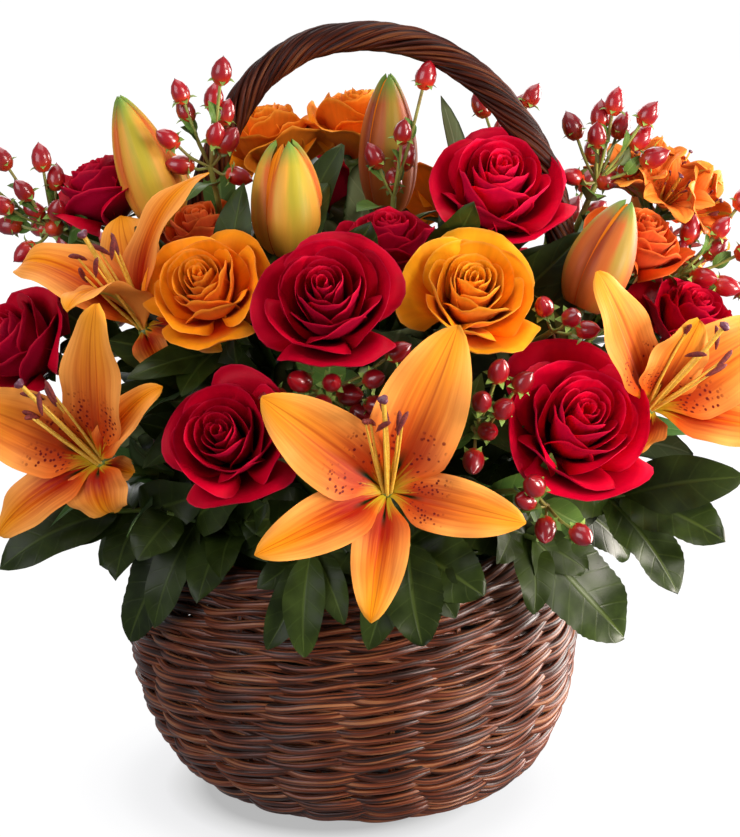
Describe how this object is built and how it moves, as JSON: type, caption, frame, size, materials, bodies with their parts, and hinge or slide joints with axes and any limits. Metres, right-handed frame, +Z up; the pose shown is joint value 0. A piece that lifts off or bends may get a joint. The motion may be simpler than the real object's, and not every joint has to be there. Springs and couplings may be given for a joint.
{
  "type": "flower basket arrangement",
  "caption": "Fresh-cut roses, open lilies, buds, hypericum berries and leafy stems standing in wet foam inside a round woven willow basket with an arched handle.",
  "frame": {"origin": "centre of the basket's flat underside, on the surface it stands on", "axes": "+Z up, -Y towards the front of the arrangement, +X to the viewer's right, along the plane of the handle's arch"},
  "size_m": [0.3509, 0.3328, 0.3525],
  "materials": {
    "willow": "stained and varnished willow rods, woven, semi-gloss",
    "handle_willow": "dark stained willow, wound as a rope, semi-gloss",
    "liner_plastic": "thin dark green plastic bowl, moulded",
    "wet_foam": "green floral foam, soaked",
    "red_petal": "crimson rose petals, velvety",
    "orange_petal": "orange petals, satin",
    "lily_petal": "pale orange lily petals, waxy satin",
    "lily_bud": "yellow-green lily bud with orange stripes",
    "berry": "glossy red berries",
    "leaf": "dark green leaves, waxy sheen"
  },
  "bodies": {
    "root": {"basket_base": "willow", "basket_siding": "willow", "basket_border": "willow", "handle_core": "handle_willow", "handle_wrap": "handle_willow", "liner": "liner_plastic", "floral_foam": "wet_foam", "red_rose_1": "red_petal", "red_rose_2": "red_petal", "red_rose_3": "red_petal", "red_rose_4": "red_petal", "red_rose_5": "red_petal", "red_rose_6": "red_petal", "red_rose_7": "red_petal", "red_rose_8": "red_petal", "red_rose_9": "red_petal", "red_rose_10": "red_petal", "orange_rose_1": "orange_petal", "orange_rose_2": "orange_petal", "orange_rose_3": "orange_petal", "orange_rose_4": "orange_petal", "orange_rose_5": "orange_petal", "orange_rose_6": "orange_petal", "orange_rose_7": "orange_petal", "orange_rose_8": "orange_petal", "lily_1": "lily_petal", "lily_2": "lily_petal", "lily_3": "lily_petal", "lily_4": "lily_petal", "lily_5": "lily_petal", "lily_6": "lily_petal", "lily_bud_1": "lily_bud", "lily_bud_2": "lily_bud", "lily_bud_3": "lily_bud", "lily_bud_4": "lily_bud", "lily_bud_5": "lily_bud", "alstroemeria_1": "orange_petal", "hypericum_1": "berry", "hypericum_2": "berry", "hypericum_3": "berry", "hypericum_4": "berry", "hypericum_5": "berry", "hypericum_6": "berry", "hypericum_7": "berry", "hypericum_8": "berry", "hypericum_9": "berry", "hypericum_10": "berry", "hypericum_11": "berry", "hypericum_12": "berry", "leaf_stem_1": "leaf", "leaf_stem_2": "leaf", "leaf_stem_3": "leaf", "leaf_stem_4": "leaf", "leaf_stem_5": "leaf", "leaf_stem_6": "leaf", "leaf_stem_7": "leaf", "leaf_stem_8": "leaf", "leaf_stem_9": "leaf", "leaf_stem_10": "leaf", "leaf_stem_11": "leaf"}
  },
  "joints": []
}
